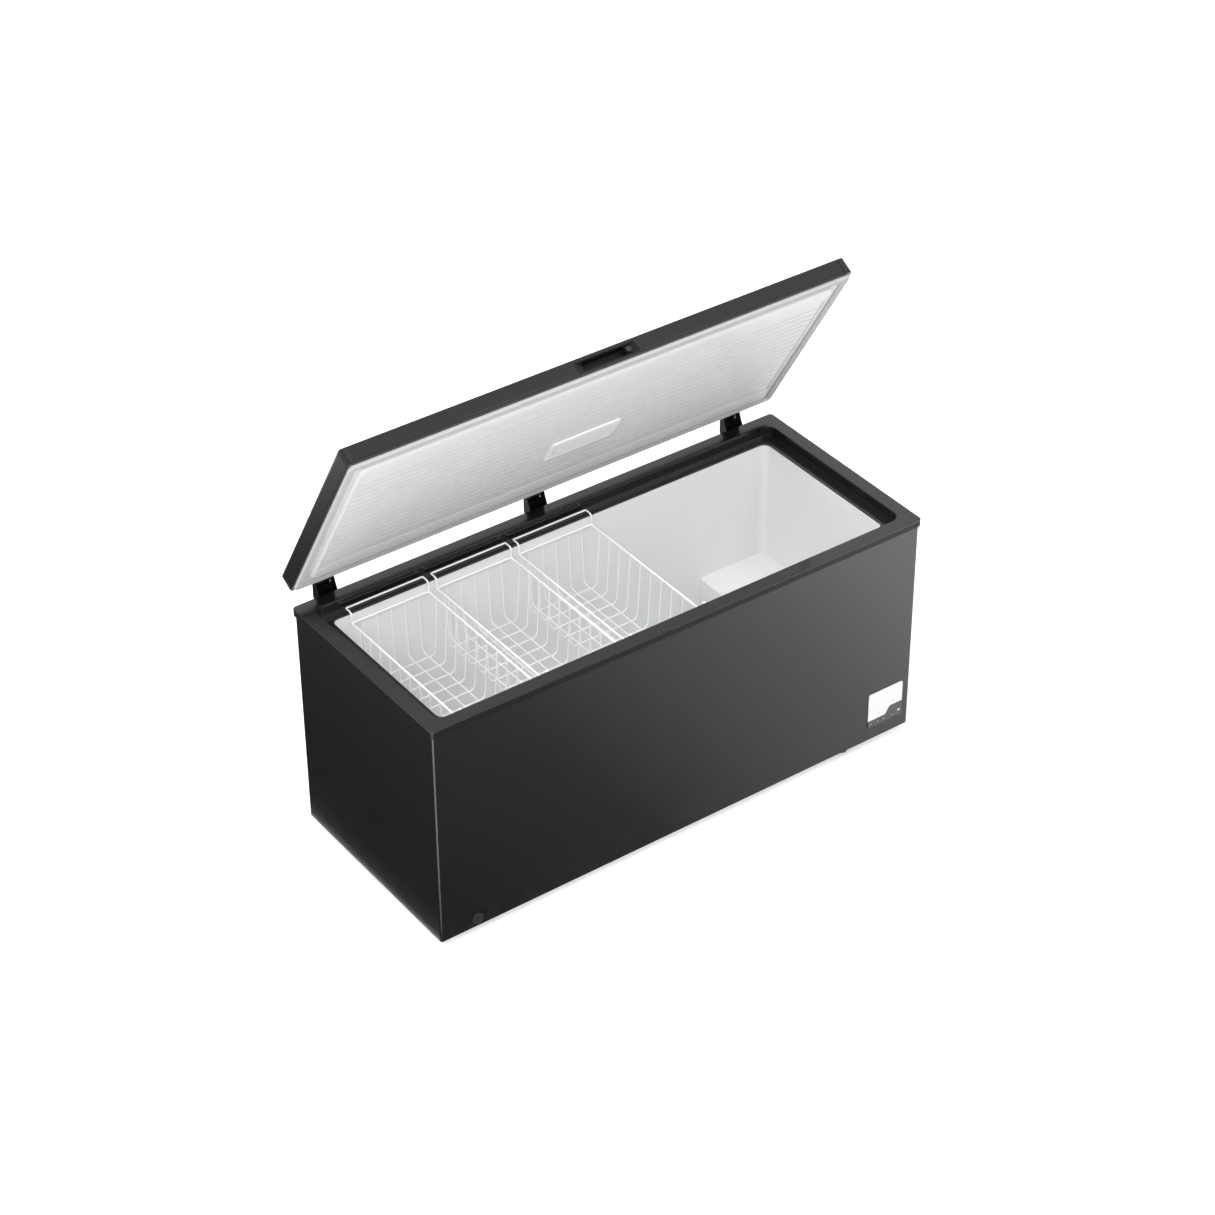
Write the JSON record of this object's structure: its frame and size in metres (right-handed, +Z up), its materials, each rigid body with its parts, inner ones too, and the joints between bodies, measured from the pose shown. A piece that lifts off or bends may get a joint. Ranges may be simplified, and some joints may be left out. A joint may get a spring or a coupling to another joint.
{
  "type": "chest freezer",
  "caption": "Black chest freezer with a hinged insulated lid, white liner with a compressor step, hanging wire baskets, front control panel and drain.",
  "frame": {"origin": "on the floor, under the middle of the overall outline as it stands with the lid open", "axes": "+Z up, front towards -Y, +X to the right seen from the front"},
  "size_m": [1.65, 0.7376, 1.4182],
  "materials": {
    "painted_steel": "satin",
    "back_steel": "matte",
    "galvanised_steel": "satin",
    "foam": "matte",
    "liner_white": "satin",
    "rim_plastic": "satin",
    "copper": "satin",
    "compressor_paint": "satin",
    "rubber": "matte",
    "black_plastic": "matte",
    "panel_white": "gloss",
    "panel_dark": "gloss",
    "lamp_lens": "gloss",
    "indicator": "gloss",
    "circuit_board": "satin",
    "pale_plastic": "satin",
    "hinge_steel": "satin",
    "bright_steel": "satin",
    "gasket_pvc": "matte",
    "white_wire": "satin"
  },
  "bodies": {
    "cabinet": {"outer_wrap": "painted_steel", "back_panel": "back_steel", "base_pan": "galvanised_steel", "cabinet_foam": "foam", "inner_liner": "liner_white", "rim_collar": "rim_plastic", "evaporator_coil": "copper", "condenser_coil": "copper", "bay_bulkhead": "galvanised_steel", "compressor_tray": "galvanised_steel", "compressor_shell": "compressor_paint", "compressor_grommets": "rubber", "start_relay": "black_plastic", "filter_drier": "copper", "suction_line": "copper", "discharge_line": "copper", "capillary_tube": "copper", "terminal_box": "black_plastic", "cord_gland": "rubber", "side_grille": "black_plastic", "thermostat_bulb_sleeve": "pale_plastic", "panel_fascia": "panel_white", "panel_window": "panel_dark", "control_board": "circuit_board", "indicator_lights": "indicator", "drain_tube": "pale_plastic", "front_feet": "black_plastic", "roller_brackets": "galvanised_steel", "hinge_brackets": "hinge_steel", "hinge_pins": "bright_steel", "hinge_springs": "bright_steel", "hinge_screws": "bright_steel"},
    "lid": {"lid_skin": "painted_steel", "lid_foam": "foam", "lid_liner": "liner_white", "lid_gasket": "gasket_pvc", "lid_handle": "black_plastic", "lid_corner_caps": "black_plastic", "hinge_lid_arms": "hinge_steel", "lid_arm_screws": "bright_steel", "lamp_cover": "lamp_lens", "lamp_board": "circuit_board", "lamp_switch": "black_plastic"},
    "lock": {"lock_barrel": "bright_steel", "lock_cam": "bright_steel"},
    "basket_left": {"basket_left": "white_wire"},
    "basket_middle": {"basket_middle": "white_wire"},
    "basket_right": {"basket_right": "white_wire"},
    "key": {"panel_key": "pale_plastic"},
    "drain_cap": {"drain_cap": "black_plastic"},
    "drain_stopper": {"drain_stopper": "rubber"},
    "roller_left": {"roller_left": "black_plastic"},
    "roller_right": {"roller_right": "black_plastic"}
  },
  "joints": [
    {"name": "lid_hinge", "type": "hinge", "parent": "cabinet", "child": "lid", "pos_m": [0, 0.35423, 0.7745], "axis": [-1, 0, 0], "range_deg": [-59.5, 20]},
    {"name": "lock_turn", "type": "hinge", "parent": "lid", "child": "lock", "pos_m": [0.071, -0.00469, 1.40451], "axis": [0, -0.5075, 0.8616], "range_deg": [0, 90]},
    {"name": "basket_left_lift", "type": "slide", "parent": "cabinet", "child": "basket_left", "axis": [0, 0, 1], "range_m": [0, 0.12]},
    {"name": "basket_middle_lift", "type": "slide", "parent": "cabinet", "child": "basket_middle", "axis": [0, 0, 1], "range_m": [0, 0.12]},
    {"name": "basket_right_lift", "type": "slide", "parent": "cabinet", "child": "basket_right", "axis": [0, 0, 1], "range_m": [0, 0.12]},
    {"name": "key_press", "type": "slide", "parent": "cabinet", "child": "key", "axis": [0, 1, 0], "range_m": [0, 0.0008], "stiffness_N_per_m": 800, "springref_m": -0.0005},
    {"name": "drain_cap_pull", "type": "slide", "parent": "cabinet", "child": "drain_cap", "axis": [0, -1, 0], "range_m": [0, 0.03]},
    {"name": "drain_stopper_pull", "type": "slide", "parent": "cabinet", "child": "drain_stopper", "axis": [0, 0, 1], "range_m": [0, 0.04]},
    {"name": "roller_left_spin", "type": "hinge", "parent": "cabinet", "child": "roller_left", "pos_m": [-0.669, 0.24123, 0.013], "axis": [1, 0, 0], "continuous": true},
    {"name": "roller_right_spin", "type": "hinge", "parent": "cabinet", "child": "roller_right", "pos_m": [0.669, 0.24123, 0.013], "axis": [1, 0, 0], "continuous": true}
  ]
}
